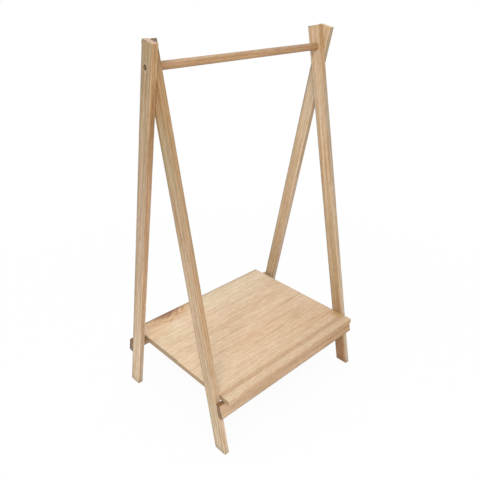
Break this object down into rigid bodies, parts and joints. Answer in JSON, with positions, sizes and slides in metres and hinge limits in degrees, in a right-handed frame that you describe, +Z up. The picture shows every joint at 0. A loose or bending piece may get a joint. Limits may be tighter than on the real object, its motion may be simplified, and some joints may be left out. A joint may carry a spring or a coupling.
{
  "type": "open frame wardrobe",
  "caption": "Open wooden clothes rack: slanted legs crossed and bolted near the top, a round hanging bar between the crossings and a low shelf laid on front and back rails.",
  "frame": {"origin": "on the floor, centred between the four feet, straight under the middle of the hanging bar", "axes": "+X along the hanging bar towards its right end seen from the front, +Y towards the back, +Z up"},
  "size_m": [0.6726, 0.4908, 1.1803],
  "materials": {
    "left_back_leg_wood": "matt clear",
    "left_front_leg_wood": "matt clear",
    "right_front_leg_wood": "matt clear",
    "right_back_leg_wood": "matt clear",
    "bar_wood": "matt clear",
    "front_rail_wood": "matt clear",
    "back_rail_wood": "matt clear",
    "shelf_wood": "matt clear",
    "dowel_wood": "matt clear",
    "bolt_steel": "black oxide, satin",
    "zinc_steel": "zinc plated"
  },
  "bodies": {
    "root": {"left_back_leg": "left_back_leg_wood", "left_front_leg": "left_front_leg_wood", "right_front_leg": "right_front_leg_wood", "right_back_leg": "right_back_leg_wood", "hanging_bar": "bar_wood", "front_rail": "front_rail_wood", "back_rail": "back_rail_wood", "shelf_panel": "shelf_wood", "left_pivot_bolt": "bolt_steel", "left_bolt_washer": "bolt_steel", "left_threaded_insert": "zinc_steel", "left_front_lower_dowel": "dowel_wood", "left_front_upper_dowel": "dowel_wood", "left_back_lower_dowel": "dowel_wood", "left_back_upper_dowel": "dowel_wood", "right_pivot_bolt": "bolt_steel", "right_bolt_washer": "bolt_steel", "right_threaded_insert": "zinc_steel", "right_front_lower_dowel": "dowel_wood", "right_front_upper_dowel": "dowel_wood", "right_back_lower_dowel": "dowel_wood", "right_back_upper_dowel": "dowel_wood", "left_front_shelf_screw": "zinc_steel", "middle_front_shelf_screw": "zinc_steel", "right_front_shelf_screw": "zinc_steel", "left_back_shelf_screw": "zinc_steel", "middle_back_shelf_screw": "zinc_steel", "right_back_shelf_screw": "zinc_steel"}
  },
  "joints": []
}
